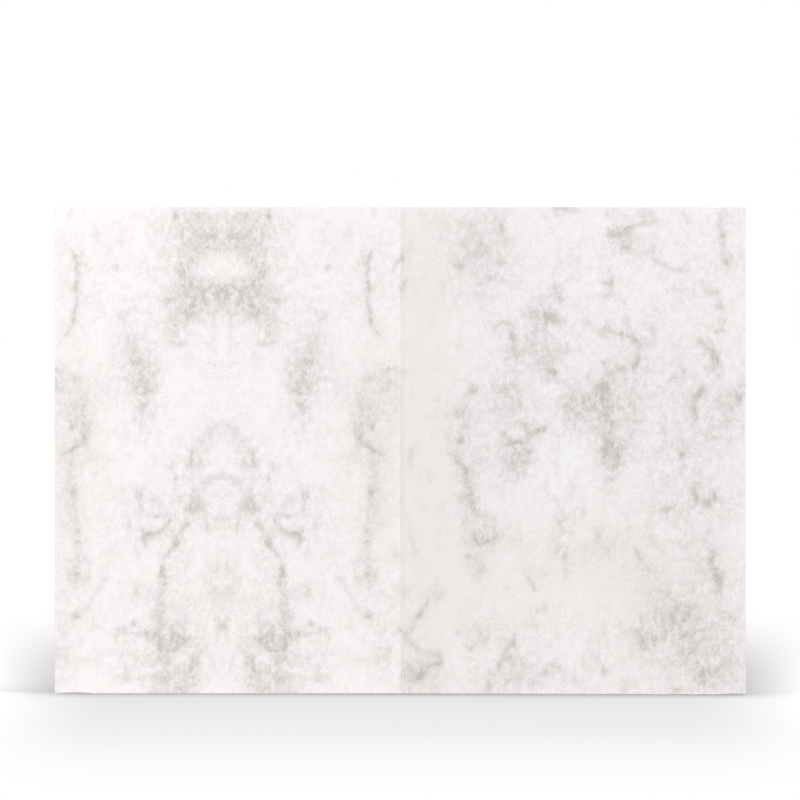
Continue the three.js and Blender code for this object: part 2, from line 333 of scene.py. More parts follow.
    Vein(((93, 20), (97, 22), (100.4, 26)), 2, 0.56), Blot(105, 21.6, 2.2, 1.4, 0.46),
    Blot(102.4, 18.6, 1.4, 0.9, 0.60), Blot(107.4, 17.8, 2.2, 1.1, 0.66), Blot(105, 13.6, 1.5, 2, 0.46),
    Blot(108, 18, 8, 8, 0.30), Blot(110.4, 7.8, 3.6, 1.8, 0.54), Blot(118, 9, 2.6, 2, 0.46),
    Blot(113, 5, 5, 3.6, 0.34), Blot(101.4, 1.8, 2.2, 1.7, 0.62), Blot(97, 6, 3, 2, 0.20),
    Blot(119.2, 30, 1.4, 1.2, 0.50), Blot(121.4, 28, 2.4, 1.2, 0.42), Blot(112, 21, 2, 1.4, 0.34),
    Blot(118, 17, 1.8, 1.1, 0.26), Blot(122, 11, 5, 7, 0.24), Blot(98, 28, 8, 6, 0.20),
    Blot(74.8, 8, 1.3, 0.9, 0.40), Vein(((71, 13.4), (73, 11.6), (75, 8)), 1.4, 0.30),
    Blot(83.6, 3, 3.4, 2.4, 0.28), Blot(91, 12, 3, 2, 0.18), Blot(67, 2, 2, 2, 0.22),
    Blot(94, 36, 12, 12, 0.08), Blot(103, 19, 17, 14, -0.3),
)

# The cloudy areas the marks lie in, laid out in the same way.
LEFT_CLOUDS: tuple[Mark, ...] = (
    Blot(5, 167, 13, 6, 0.42), Blot(8, 146.5, 11, 5.5, 0.40), Blot(14, 155, 5, 7, 0.28),
    Blot(18, 131, 3.5, 8, 0.15), Blot(31, 119, 8.5, 18, 0.44), Blot(57, 108, 10, 16, 0.30),
    Blot(55, 70, 9, 24, 0.20), Blot(10, 70, 9, 10, 0.28), Blot(8, 88, 10, 12, 0.20),
    Blot(24, 60, 12, 8, 0.22), Blot(55, 38, 10, 14, 0.20), Blot(18, 20, 13, 12, 0.34),
    Blot(12, 6, 16, 10, 0.30), Blot(32, 12, 11, 12, 0.22), Blot(2, 37, 5.5, 10, 0.30),
    Blot(58, 15, 6, 10, 0.20), Blot(5, 173, 16, 6, 0.20), Blot(54, 150, 5, 14, 0.22),
    Blot(2, 156, 4, 3, -0.4), Blot(10, 157, 15, 16, 0.26), Blot(10, 30, 14, 26, 0.14),
    Blot(0, 156, 7, 4.4, -0.5), Blot(14, 156, 8, 12, 0.28), Blot(9, 138.5, 13, 5.5, 0.34),
    Blot(42, 90, 16, 24, -0.25), Blot(40, 150, 18, 24, 0.05),
)
RIGHT_CLOUDS: tuple[Mark, ...] = (
    Blot(30, 160, 13, 16, 0.22), Blot(50, 130, 14, 16, 0.30), Blot(38, 105, 16, 10, 0.25),
    Blot(42, 86, 7, 8, 0.40), Blot(71, 106, 12.5, 9.5, 0.46), Blot(85, 104, 10, 9, 0.30),
    Blot(77, 88, 7, 9, 0.50), Blot(84, 124, 12, 12, 0.30), Blot(106, 118, 16, 30, 0.24),
    Blot(112, 85, 14, 22, 0.20), Blot(104, 150, 20, 20, 0.06), Blot(82, 168, 8, 7, 0.35),
    Blot(92, 168, 10, 10, 0.15), Blot(119, 165, 5, 14, 0.20), Blot(25, 85, 8, 22, 0.25),
    Blot(30, 57, 9, 8, 0.28), Blot(60, 52, 14, 12, 0.12), Blot(85, 52, 14, 14, 0.18),
    Blot(110, 48, 10, 14, 0.20), Blot(108, 14, 23, 18, 0.40), Blot(98, 28, 10, 7, 0.30),
    Blot(42, 8, 12, 8, 0.32), Blot(7, 8, 10, 12, 0.30), Blot(75, 8, 20, 10, 0.16),
    Blot(28, 20, 10, 6, 0.12), Blot(62, 84, 4.5, 14, -0.8), Blot(54, 110, 4, 3, -0.7),
    Blot(20, 160, 20, 16, 0.13), Blot(64, 150, 20, 20, 0.12), Blot(64, 88, 22, 24, 0.12),
    Blot(104, 88, 20, 26, 0.22), Blot(104, 30, 22, 26, 0.18), Blot(22, 30, 18, 26, -0.3),
)

# Broad, weak warmth of the paper: positive is cream, negative is cool.
LEFT_WARMTH: tuple[Mark, ...] = (
    Blot(60, 85, 12, 50, 0.75), Blot(44, 88, 5, 40, 0.40), Blot(0, 35, 12, 18, 0.40),
    Blot(62, 174, 8, 7, -0.50), Blot(30, 100, 10, 60, -0.25), Blot(4, 158, 24, 19, 0.28),
    Blot(20, 40, 16, 22, 0.14),
)
RIGHT_WARMTH: tuple[Mark, ...] = (
    Blot(8, 90, 16, 130, 0.80), Blot(78, 48, 34, 24, 0.75), Blot(36, 36, 22, 24, 0.45),
    Blot(62, 84, 8, 18, -0.90), Blot(70, 160, 12, 16, -0.60), Blot(77, 86, 5, 9, 0.50),
    Blot(54, 111, 5, 4, -0.60), Blot(40, 125, 14, 20, -0.35), Blot(48, 80, 14, 16, -0.40),
    Blot(96, 90, 14, 24, -0.45), Blot(100, 160, 20, 14, -0.20), Blot(52, 8, 18, 10, -0.30),
    Blot(98, 20, 36, 24, 0.24),
)


@dataclass(frozen=True)
class SheetSizes:
    """The sheet's sizes in millimetres and the angle between its panels in degrees."""

    width: float
    height: float
    middle: tuple[float, float]
    foot: float
    opening: float
    thickness: float
    groove_width: float
    groove_depth: float
    bead_width: float
    bead_height: float

    @classmethod
    def from_box(cls, opening: float = 171.3, thickness: float = 0.3) -> "SheetSizes":
        """Read the sheet's extents off the model's box and work its flat width out.

        Args:
            opening: the angle between the panels, 180 when the sheet is flat.
            thickness: the card's thickness.

        Returns:
            The sizes of the whole sheet.
        """
        low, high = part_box(NODE)
        size, middle = (high - low) / MM, (high + low) / (2 * MM)
        bead_width = 1.15
        half_turn = math.radians(180 - opening) / 2
        radius = bead_width / (2 * half_turn)
        straight = size.x / 2 - (radius + thickness / 2) * math.sin(half_turn)
        width = bead_width + 2 * straight / math.cos(half_turn)
        return cls(width, size.z, (middle.x, middle.y), low.z / MM, opening, thickness,
                   groove_width=0.7, groove_depth=0.11, bead_width=bead_width, bead_height=0.13)


@dataclass(frozen=True)
class FootGap:
    """A low gap under the bottom cut that follows a wave outwards, in millimetres from the fold.

    It begins at start and runs on for length. turn is the share of half a wave that the whole run
    takes up, and past the share held of the run the gap stays as it is.
    """

    start: float
    length: float
    turn: float = 1.0
    held: float = 1.0

    def rise(self, away: Grid) -> Grid:
        """How far the cut is lifted at distances from the fold, from 0 to 1."""
        share = np.clip((away - self.start) / self.length, 0, 1)
        return np.sin(math.pi * self.turn * np.minimum(share, self.held))


@dataclass(frozen=True)
class Texture:
    """How finely the sheet's surface is divided and how far it strays from a plane.

    bow_turns are the turns of the bow's wave across a panel and up it, in radians, and bow_starts
    where it starts on the left and on the right panel. It sets in from the fold with the power
    bow_onset, and up the sheet it follows a half wave that starts at the first of bow_rows and
    runs on for the second. bead_waves are the size, turns and start of the waves that make the
    bead uneven, and foot_fade is the power with which the foot's gaps close upwards.
    """

    panel_columns: int = 176
    bead_columns: int = 36
    columns_per_outside_column: int = 4
    rows: int = 196
    arris: float = 0.045
    bow: float = 0.22
    bow_turns: tuple[float, float] = (2.1, 1.4)
    bow_starts: tuple[float, float] = (0.4, 1.9)
    bow_onset: float = 1.5
    bow_rows: tuple[float, float] = (0.15, 0.8)
    bead_waves: tuple[tuple[float, float, float], ...] = ((0.08, 41.0, 0.0), (0.07, 97.0, 1.0))
    foot_lift: float = 0.28
    foot_fade: int = 24
    left_gap: FootGap = FootGap(start=112.5, length=14.5, held=0.93)
    right_gap: FootGap = FootGap(start=115.5, length=11.5, turn=0.62)


class Bend:
    """Turns places on the flat sheet into places on the folded one."""

    def __init__(self, sizes: SheetSizes) -> None:
        """Work the fold's radius out from its width and its turn."""
        self.sizes = sizes
        self.radius = sizes.bead_width / math.radians(180 - sizes.opening)

    def place(self, across: Grid, out: Grid) -> tuple[Grid, Grid]:
        """Bend the section about the fold: an arc, then a straight run to either side.

        Args:
            across: places along the middle of the flat sheet, from the fold.
            out: how far each place lies off the sheet's middle, towards its outside.

        Returns:
            The x and y of each place, in millimetres, before the sheet is moved to its box.
        """
        half = self.sizes.bead_width / 2
        on_arc = np.clip(across, -half, half)
        angle = on_arc / self.radius
        beyond = across - on_arc
        x = (self.radius + out) * np.sin(angle) + beyond * np.cos(angle)
        y = (self.radius + out) * np.cos(angle) - self.radius - beyond * np.sin(angle)
        return x, y


def hump(place: Grid, width: float) -> Grid:
    """A smooth rise from 0 at either side to 1 at the fold, over the given width."""
    return np.where(np.abs(place) < width / 2, 0.5 + 0.5 * np.cos(2 * math.pi * place / width), 0.0)


@dataclass
class Loop:
    """The outline of the sheet's section, run round once.

    It goes along the inside face, round one cut edge, back along the outside face and round the
    other cut edge. sides holds the side each step belongs to, and inside and outside hold the
    numbers of the points on the two faces.
    """

    across: Grid
    out: Grid
    bead: Grid
    sides: list[Side]
    inside: Grid
    outside: Grid


class SheetSurface:
    """The closed surface of the folded sheet, as whole arrays."""

    def __init__(self, sizes: SheetSizes, texture: Texture) -> None:
        """Lay the section's outline and the rows out."""
        self.sizes = sizes
        self.texture = texture
        self.bend = Bend(sizes)
        self.loop = self.section()
        arris = texture.arris / sizes.height
        self.rows = np.concatenate(([0.0], np.linspace(arris, 1 - arris, texture.rows), [1.0]))

    def columns(self) -> Grid:
        """The inside face's columns, close together over the fold's bead."""
        reach = self.sizes.width / 2 - self.texture.arris
        half = self.sizes.bead_width / 2
        bead = np.linspace(-half, half, self.texture.bead_columns + 1)
        panel = np.linspace(half, reach, self.texture.panel_columns + 1)[1:]
        return np.concatenate((-panel[::-1], bead, panel))

    def section(self) -> Loop:
        """Work out the outline of the section.

        Returns:
            The outline, with the numbers of its inside and outside points.
        """
        half_width, half = self.sizes.width / 2, self.sizes.thickness / 2
        arris = self.texture.arris
        inside = self.columns()
        outside = inside[:: self.texture.columns_per_outside_column][::-1]
        right = np.array([half_width, half_width])
        edge = np.array([half - arris, half - arris])
        across = np.concatenate((inside, right, outside, -right))
        flat = np.concatenate((0 * inside - half, edge * (-1, 1), 0 * outside + half, edge * (1, -1)))
        raised = self.sizes.bead_height * hump(inside, self.sizes.bead_width)
        pressed = self.sizes.groove_depth * hump(outside, self.sizes.groove_width)
        bead = np.concatenate((raised, 0 * right, pressed, 0 * right))
        sides = [Side.INSIDE] * (len(inside) - 1) + [Side.CUT_EDGE] * 3
        sides += [Side.OUTSIDE] * (len(outside) - 1) + [Side.CUT_EDGE] * 3
        numbers = np.arange(len(across))
        first_out = len(inside) + 2
        return Loop(across, flat, bead, sides, numbers[: len(inside)],
                    numbers[first_out : first_out + len(outside)][::-1])

    def stray(self, across: Grid, share: Grid) -> Grid:
        """How far the sheet bows off its panels, in millimetres: nothing along the fold."""
        look = self.texture
        panel = np.abs(across) / (self.sizes.width / 2)
        start = np.where(across < 0, *look.bow_starts)
        wave = np.sin(look.bow_turns[0] * panel + look.bow_turns[1] * share + start)
        rise = np.sin(math.pi * (look.bow_rows[0] + look.bow_rows[1] * share))
        return look.bow * panel**look.bow_onset * wave * rise

    def lift(self, across: Grid, share: Grid) -> Grid:
        """How far the bottom cut stands clear of the floor near the two outer corners."""
        look = self.texture
        gap = look.left_gap.rise(-across) + look.right_gap.rise(across)
        return look.foot_lift * gap * (1 - share) ** look.foot_fade

    def points(self) -> tuple[Grid, Grid]:
        """Work out every point of the surface.

        Returns:
            The points' places in millimetres, and their places on the flat sheet: across from the
            fold, height, and the side as a number.
        """
        share, across = np.meshgrid(self.rows, self.loop.across, indexing="ij")
        at_end = (share == 0) | (share == 1)
        flat = np.broadcast_to(self.loop.out, across.shape)
        bead = np.broadcast_to(self.loop.bead, across.shape)
        waves = [size * np.sin(share * turns + start) for size, turns, start in self.texture.bead_waves]
        half_width, half = self.sizes.width / 2, self.sizes.thickness / 2
        out = (flat - bead * (1 + sum(waves))) * np.where(at_end, 1 - self.texture.arris / half, 1)
        run = across * np.where(at_end, 1 - self.texture.arris / half_width, 1)
        x, y = self.bend.place(run, out)
        # The section's depth runs from the inside's outer corners to the floor of the groove.
        ends = np.array([half_width, 0.0]), np.array([-half, half - self.sizes.groove_depth])
        depths = self.bend.place(*ends)[1]
        x = x + self.sizes.middle[0]
        y = y + self.sizes.middle[1] - (depths.min() + depths.max()) / 2 + self.stray(across, share)
        height = share * self.sizes.height
        z = height + self.lift(across, share) + self.sizes.foot
        side = np.full(self.loop.across.shape, float(Side.CUT_EDGE.value))
        side[self.loop.inside] = Side.INSIDE.value
        side[self.loop.outside] = Side.OUTSIDE.value
        places = np.stack((across, height, np.broadcast_to(side, across.shape)), axis=-1)
        return np.stack((x, y, z), axis=-1).reshape(-1, 3), places.reshape(-1, 3)

    def faces(self) -> tuple[list[list[int]], list[int]]:
        """Join the points up: bands round the sheet, then the top and bottom cuts.

        Returns:
            Every face's points, running outwards, and every face's side number.
        """
        count, rows = len(self.loop.across), len(self.rows)
        row = np.arange(rows - 1)[:, None] * count
        here, following = np.arange(count)[None, :], (np.arange(count)[None, :] + 1) % count
        corners = (row + here, row + following, row + count + following, row + count + here)
        bands = np.stack(corners, axis=-1)
        sides = np.tile([side.value for side in self.loop.sides], rows - 1)
        cap = self.cap()
        top = (rows - 1) * count
        faces = bands.reshape(-1, 4).tolist() + [[top + point for point in face] for face in cap]
        faces += [face[::-1] for face in cap]
        return faces, sides.tolist() + [Side.CUT_EDGE.value] * (2 * len(cap))

    def cap(self) -> list[list[int]]:
        """The faces of one cut end, within the section's outline."""
        inside, outside = self.loop.inside, self.loop.outside
        step = self.texture.columns_per_outside_column
        faces = []
        for k in range(len(outside) - 1):
            first = step * k
            faces.append([*inside[first : first + step + 1], outside[k + 1], outside[k]])
        last = len(self.loop.across)
        faces.append([inside[-1], inside[-1] + 1, inside[-1] + 2, outside[-1]])
        faces.append([outside[0], last - 2, last - 1, inside[0]])
        return [[int(point) for point in face] for face in faces]


def hazy(clouds: Sequence[Mark], marks: Sequence[Mark]) -> tuple[Mark, ...]:
    """The clouds together with the surroundings of the stronger marks."""
    return (*clouds, *(mark.halo() for mark in marks if mark.strength > MARK.haze_from))


class Marbling:
    """The marbling's layout, read at places on the flat sheet.

    MIRROR is how far the left panel's mirror line lies from the fold. WAVES are the lengths of the
    waves by which places wander; a wave's reach is WAVE_REACH times its length to the power of
    WAVE_GROWTH. SEEDS draw the waves across and up.
    """

    MIRROR: ClassVar[float] = 65.8
    WAVES: ClassVar[tuple[float, ...]] = (13.0, 8.0, 5.6, 4.1, 3.0, 2.3)
    WAVE_REACH: ClassVar[float] = 0.05
    WAVE_GROWTH: ClassVar[float] = 0.8
    SEEDS: ClassVar[tuple[int, int]] = (11, 12)

    def __init__(self, across: Grid, up: Grid) -> None:
        """Sort the places by panel and let the pattern wander a little."""
        self.left = across < 0
        pattern = np.where(self.left, np.abs(across + self.MIRROR), across)
        self.across = pattern + self.wander(pattern, up, self.SEEDS[0])
        self.up = up + self.wander(pattern, up, self.SEEDS[1])

    @classmethod
    def wander(cls, across: Grid, up: Grid, seed: int) -> Grid:
        """How far places wander, in millimetres: waves of several lengths in all directions."""
        draw = np.random.default_rng(seed)
        total = np.zeros(across.shape)
        for length in cls.WAVES:
            heading, start = draw.uniform(0, 2 * math.pi, 2)
            run = across * math.cos(heading) + up * math.sin(heading)
            reach = cls.WAVE_REACH * length**cls.WAVE_GROWTH
            total += reach * np.sin(2 * math.pi * run / length + start)
        return total

    def laid(self, marks: Sequence[Mark]) -> Grid:
        """Lay marks over one another, each covering its share of what is still clear.

        Args:
            marks: the marks; those with a negative strength clear the paper at the end.

        Returns:
            How much grey is laid down at each place, from 0 to 1.
        """
        clear = np.ones(self.across.shape)
        for mark in marks:
            if mark.strength > 0:
                clear *= 1 - min(mark.strength, MARK.most) * mark.mask(self.across, self.up)
        laid = 1 - clear
        for mark in marks:
            if mark.strength < 0:
                laid *= 1 + mark.strength * mark.mask(self.across, self.up)
        return laid

    def summed(self, marks: Sequence[Mark]) -> Grid:
        """Add marks up, keeping their signs."""
        return sum(mark.strength * mark.mask(self.across, self.up) for mark in marks)

    def ink(self) -> Grid:
        """The grey of the marks at each place."""
        return np.where(self.left, self.laid(LEFT_MARKS), self.laid(RIGHT_MARKS))

    def haze(self) -> Grid:
        """The grey of the clouds and of the marks' surroundings at each place."""
        left = self.laid(hazy(LEFT_CLOUDS, LEFT_MARKS))
        return np.where(self.left, left, self.laid(hazy(RIGHT_CLOUDS, RIGHT_MARKS)))

    def warmth(self) -> Grid:
        """The paper's warmth at each place."""
        return np.where(self.left, self.summed(LEFT_WARMTH), self.summed(RIGHT_WARMTH))


class Socket:
    """A node's output, with arithmetic that makes Math nodes."""

    def __init__(self, nodes: "Nodes", source: bpy.types.NodeSocket) -> None:
        """Keep the output and the nodes it belongs to."""
        self.nodes = nodes
        self.source = source

    def __add__(self, other: "Value") -> "Socket":
        """This plus other."""
        return self.nodes.math("ADD", self, other)

    def __radd__(self, other: "Value") -> "Socket":
        """Other plus this."""
        return self.nodes.math("ADD", other, self)

    def __sub__(self, other: "Value") -> "Socket":
        """This minus other."""
        return self.nodes.math("SUBTRACT", self, other)

    def __rsub__(self, other: "Value") -> "Socket":
        """Other minus this."""
        return self.nodes.math("SUBTRACT", other, self)

    def __mul__(self, other: "Value") -> "Socket":
        """This times other."""
        return self.nodes.math("MULTIPLY", self, other)

    def __rmul__(self, other: "Value") -> "Socket":
        """Other times this."""
        return self.nodes.math("MULTIPLY", other, self)

    def __truediv__(self, other: "Value") -> "Socket":
        """This over other."""
        return self.nodes.math("DIVIDE", self, other)

    def __rtruediv__(self, other: "Value") -> "Socket":
        """Other over this."""
        return self.nodes.math("DIVIDE", other, self)

    def __abs__(self) -> "Socket":
        """This without its sign."""
        return self.nodes.math("ABSOLUTE", self)


Value = Union[Socket, float]
Input = Union[Socket, float, Sequence[float]]


@dataclass(frozen=True)
class Noise:
    """One layer of cloudy noise and the span of its values that is used.

    cell is the size of its largest features in millimetres, detail how many finer layers it has
    and rough how strong those are. The values from low to high become those from start to end.
    """

    cell: float
    detail: float = 3.0
    rough: float = 0.5
    low: float = 0.0
    high: float = 1.0
    start: float = 0.0
    end: float = 1.0


class Nodes:
    """Builds the nodes of one material or of the world."""

    def __init__(self, tree: bpy.types.NodeTree) -> None:
        """Start from an empty tree."""
        self.tree = tree
        tree.nodes.clear()

    def node(self, kind: str, settings: Mapping[str, Any] | None = None,
             inputs: Mapping[Union[str, int], Input] | None = None) -> bpy.types.Node:
        """Add one node.

        Args:
            kind: the node's type.
            settings: its properties by name.
            inputs: its inputs by name or number, each a value or the output it is linked to.

        Returns:
            The node.
        """
        node = self.tree.nodes.new(kind)
        for name, value in (settings or {}).items():
            setattr(node, name, value)
        for name, value in (inputs or {}).items():
            if isinstance(value, Socket):
                self.tree.links.new(value.source, node.inputs[name])
            else:
                node.inputs[name].default_value = value
        return node

    def out(self, node: bpy.types.Node, name: Union[str, int] = 0) -> Socket:
        """One output of a node."""
        return Socket(self, node.outputs[name])

    def math(self, operation: str, *values: Value) -> Socket:
        """A Math node's result."""
        return self.out(self.node("ShaderNodeMath", {"operation": operation}, dict(enumerate(values))))

    def ramp(self, value: Value, low: float, high: float, start: Value = 0.0, end: Value = 1.0) -> Socket:
        """Carry a value smoothly from start to end while it goes from low to high.

        Args:
            value: the value.
            low: where the change begins.
            high: where it ends.
            start: the result at and below low.
            end: the result at and above high.

        Returns:
            The result.
        """
        inputs = {"Value": value, "From Min": low, "From Max": high, "To Min": start, "To Max": end}
        return self.out(self.node("ShaderNodeMapRange", {"interpolation_type": "SMOOTHSTEP"}, inputs))

    def mix(self, share: Value, first: Input, second: Input, blend: str = "MIX") -> Socket:
        """Mix two colours.

        Args:
            share: how much of the second colour is used.
            first: the first colour.
            second: the second colour.
            blend: how the second is laid on the first.

        Returns:
            The mixed colour.
        """
        node = self.node("ShaderNodeMix", {"data_type": "RGBA", "blend_type": blend})
        for socket, value in ((node.inputs[0], share), (node.inputs[6], first), (node.inputs[7], second)):
            if isinstance(value, Socket):
                self.tree.links.new(value.source, socket)
            else:
                socket.default_value = (*value, 1.0) if isinstance(value, tuple) else value
        return self.out(node, 2)

    def noise(self, place: Socket, noise: Noise) -> Socket:
        """Cloudy noise with a mean near a half, read at places in millimetres."""
        inputs = {
            "Vector": place, "Scale": 1 / noise.cell, "Detail": noise.detail, "Roughness": noise.rough}
        return self.out(self.node("ShaderNodeTexNoise", {"noise_dimensions": "3D"}, inputs), "Fac")

    def layer(self, place: Socket, noise: Noise) -> Socket:
        """Cloudy noise whose span is carried smoothly to its start and end."""
        return self.ramp(self.noise(place, noise), noise.low, noise.high, noise.start, noise.end)

    def warp(self, place: Socket, cell: float, reach: float) -> Socket:
        """Push places about by cloudy noise.

        Args:
            place: the places, in millimetres.
            cell: the size of the noise's features.
            reach: how far places are pushed.

        Returns:
            The pushed places.
        """
        inputs = {"Vector": place, "Scale": 1 / cell, "Detail": 1.0}
        noise = self.out(self.node("ShaderNodeTexNoise", {"noise_dimensions": "3D"}, inputs), "Color")
        push = self.node("ShaderNodeVectorMath", {"operation": "MULTIPLY_ADD"}, {
            0: noise, 1: (2 * reach, 2 * reach, 0.0), 2: (-reach, -reach, 0.0)})
        pushed = {0: place, 1: self.out(push)}
        return self.out(self.node("ShaderNodeVectorMath", {"operation": "ADD"}, pushed))

    def join(self, x: Value, y: Value, z: Value = 0.0) -> Socket:
        """A vector from three numbers."""
        return self.out(self.node("ShaderNodeCombineXYZ", None, {0: x, 1: y, 2: z}))

    def split(self, vector: Socket) -> tuple[Socket, Socket, Socket]:
        """The three numbers of a vector."""
        node = self.node("ShaderNodeSeparateXYZ", None, {0: vector})
        return self.out(node, 0), self.out(node, 1), self.out(node, 2)

    def attribute(self, name: str, output: str) -> Socket:
        """A value stored on the mesh."""
        return self.out(self.node("ShaderNodeAttribute", {"attribute_name": name}), output)

    def grey(self, level: Value) -> Socket:
        """A grey of one level."""
        return self.join(level, level, level)

    def for_camera(self, seen: bpy.types.Node, other: bpy.types.Node) -> Socket:
        """One shader as the camera sees it and another for every other ray."""
        path = self.node("ShaderNodeLightPath")
        inputs = {0: self.out(path, "Is Camera Ray"), 1: self.out(other), 2: self.out(seen)}
        return self.out(self.node("ShaderNodeMixShader", None, inputs))


@dataclass(frozen=True)
class CardFinish:
    """The card stock's colours and surface; fold is the dark colour of the shade painted along the fold's
    crease, and tooth_depth is in millimetres.
    """

    paper: Colour = (0.923, 0.874, 0.882)
    cream: Colour = (0.896, 0.860, 0.829)
    cool: Colour = (0.930, 0.905, 0.914)
    ink: Colour = (0.562, 0.541, 0.517)
    edge: Colour = (0.86, 0.82, 0.80)
    # The dark colour of the shade painted along the fold's crease.
    fold: Colour = (0.35, 0.33, 0.32)
    roughness: float = 0.82
    specular: float = 0.25
    tooth: float = 0.25
    tooth_depth: float = 0.02


@dataclass(frozen=True)
class Recipe:
    """How layers of noise break up the grey and the warmth that are laid on the paper.

    The noise is stretched by the share squeeze and pushed about by warp_reach. A weight is named
    for the layer it belongs to and the noise it scales, or even where no noise does. Plain is how
    warm the paper is between the values of plain_span: there the ground and the dye are calmer.
    """

    squeeze: float = 0.72
    warp_cell: float = 6.0
    warp_reach: float = 1.5
    mottle: Noise = Noise(2.4, 6.0, 0.72, 0.30, 0.70)
    broad: Noise = Noise(11.0, 3.0, 0.55, 0.40, 0.64)
    fibre: Noise = Noise(0.5, 2.0, 0.75, 0.30, 0.70, -0.5, 0.5)
    dye: Noise = Noise(5.5, 4.0, 0.6, 0.34, 0.66, -0.45, 0.35)
    thread: Noise = Noise(3.6, 4.0, 0.62)
    thread_middle: float = 0.5
    thread_width: float = 0.03
    ink_even: float = 0.46
    ink_mottle: float = 0.58
    haze_even: float = 0.10
    haze_mottle: float = 0.66
    haze_thread: float = 0.32
    broad_mottle: float = 0.17
    broad_thread: float = 0.12
    ground_mottle: float = 0.12
    ground_thread: float = 0.07
    plain_span: tuple[float, float] = (0.3, 0.8)
    plain_calm: float = 0.55
    plain_dye_calm: float = 0.6
    plain_grey: float = 0.07
    lightening: float = 0.03
    fibre_even: float = 0.215
    fibre_haze: float = 0.08
    fibre_tint: float = 0.3
    cream_span: tuple[float, float] = (-0.2, 1.1)
    cool_span: tuple[float, float] = (0.25, 1.3)
    most_grey: float = 1.05


@dataclass(frozen=True)
class InsideTone:
    """The light and shade painted on the inside, in millimetres on the flat sheet.

    A line of painted shade lies along the fold's crease at crease_shade_place and fades between the
    distances of crease_shade_fade. Round it the paper is darkened by painted shade, starting at
    fold_shade_level and reaching its full level from full_from on, and painted light makes it a
    little lighter towards the left end, where left_light_span begins at left_light_level.
    """

    # The line of painted shade along the fold's crease.
    crease_shade_place: float = 0.35
    crease_shade_fade: tuple[float, float] = (0.1, 0.85)
    crease_shade_strength: float = 0.16
    # Painted shade towards the fold, and painted light towards the left end.
    fold_shade_level: float = 0.971
    full_from: float = 75.0
    left_light_span: tuple[float, float] = (-122.0, -55.0)
    left_light_level: float = 1.014


@dataclass(frozen=True)
class PlainGrain:
    """The noise of the outside and the cut edges, which follow no layout, and of the tooth."""

    cloud: Noise = Noise(17.0, 5.0, 0.6, 0.46, 0.70, 0.0, 0.75)
    ink: Noise = Noise(4.6, 3.0, 0.55, 0.60, 0.72, 0.0, 0.6)
    warmth: Noise = Noise(30.0, low=0.4, high=0.65, start=-0.5, end=0.7)
    edge: Noise = Noise(0.8)
    tooth: Noise = Noise(0.45, 2.0, 0.6)


